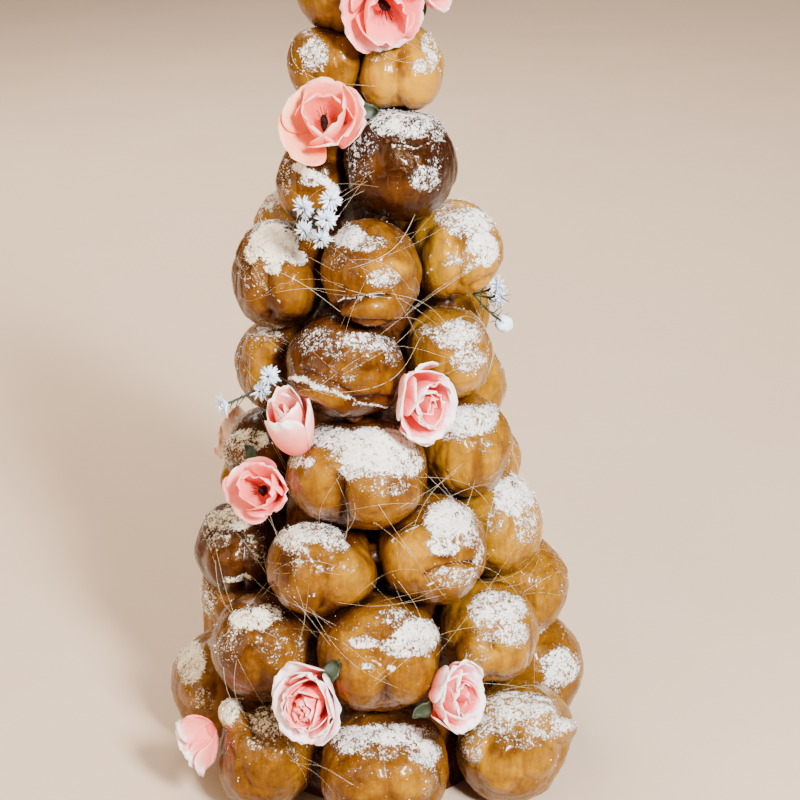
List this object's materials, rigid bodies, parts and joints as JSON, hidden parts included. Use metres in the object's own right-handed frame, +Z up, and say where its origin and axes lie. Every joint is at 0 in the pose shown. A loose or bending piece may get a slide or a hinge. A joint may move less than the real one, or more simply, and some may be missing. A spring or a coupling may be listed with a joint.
{
  "type": "croquembouche",
  "caption": "Tall cone of round cream puffs held by caramel round a solid core, dusted with icing sugar and dressed with small paper roses and sprigs of white florets",
  "frame": {"origin": "the centre of the core's flat foot, on the surface that the tower stands on", "axes": "+Z is up along the tower, -Y is the front that the picture shows, and +X is to the right seen from the front"},
  "size_m": [0.179, 0.1877, 0.3405],
  "materials": {
    "choux": "baked choux crust, golden to dark brown, under a thin glossy coat of caramel, with icing sugar on its upper side",
    "caramel": "dark hard caramel, clear and glossy",
    "petal": "thin matte paper petals, coral pink inside and pale at the crinkled rims, with green leaves",
    "floret": "matte white fringed florets on thin green stems"
  },
  "bodies": {
    "root": {"caramel_core": "caramel", "puff_1_1": "choux", "puff_1_2": "choux", "puff_1_3": "choux", "puff_1_4": "choux", "puff_1_5": "choux", "puff_1_6": "choux", "puff_1_7": "choux", "puff_1_8": "choux", "puff_2_1": "choux", "puff_2_2": "choux", "puff_2_3": "choux", "puff_2_4": "choux", "puff_2_5": "choux", "puff_2_6": "choux", "puff_2_7": "choux", "puff_2_8": "choux", "puff_3_1": "choux", "puff_3_2": "choux", "puff_3_3": "choux", "puff_3_4": "choux", "puff_3_5": "choux", "puff_3_6": "choux", "puff_3_7": "choux", "puff_4_1": "choux", "puff_4_2": "choux", "puff_4_3": "choux", "puff_4_4": "choux", "puff_4_5": "choux", "puff_5_1": "choux", "puff_5_2": "choux", "puff_5_3": "choux", "puff_5_4": "choux", "puff_5_5": "choux", "puff_6_1": "choux", "puff_6_2": "choux", "puff_6_3": "choux", "puff_6_4": "choux", "puff_6_5": "choux", "puff_7_1": "choux", "puff_7_2": "choux", "puff_7_3": "choux", "puff_8_1": "choux", "puff_8_2": "choux", "puff_8_3": "choux", "puff_9_1": "choux", "flower_top": "petal", "flower_top_right": "petal", "flower_upper_left": "petal", "flower_middle_right": "petal", "flower_middle_left": "petal", "flower_low_left": "petal", "flower_side_left": "petal", "flower_foot_left": "petal", "flower_foot_right": "petal", "flower_base_left": "petal", "flower_back": "petal", "sprig_upper_left": "floret", "sprig_right": "floret", "sprig_left": "floret"}
  },
  "joints": []
}
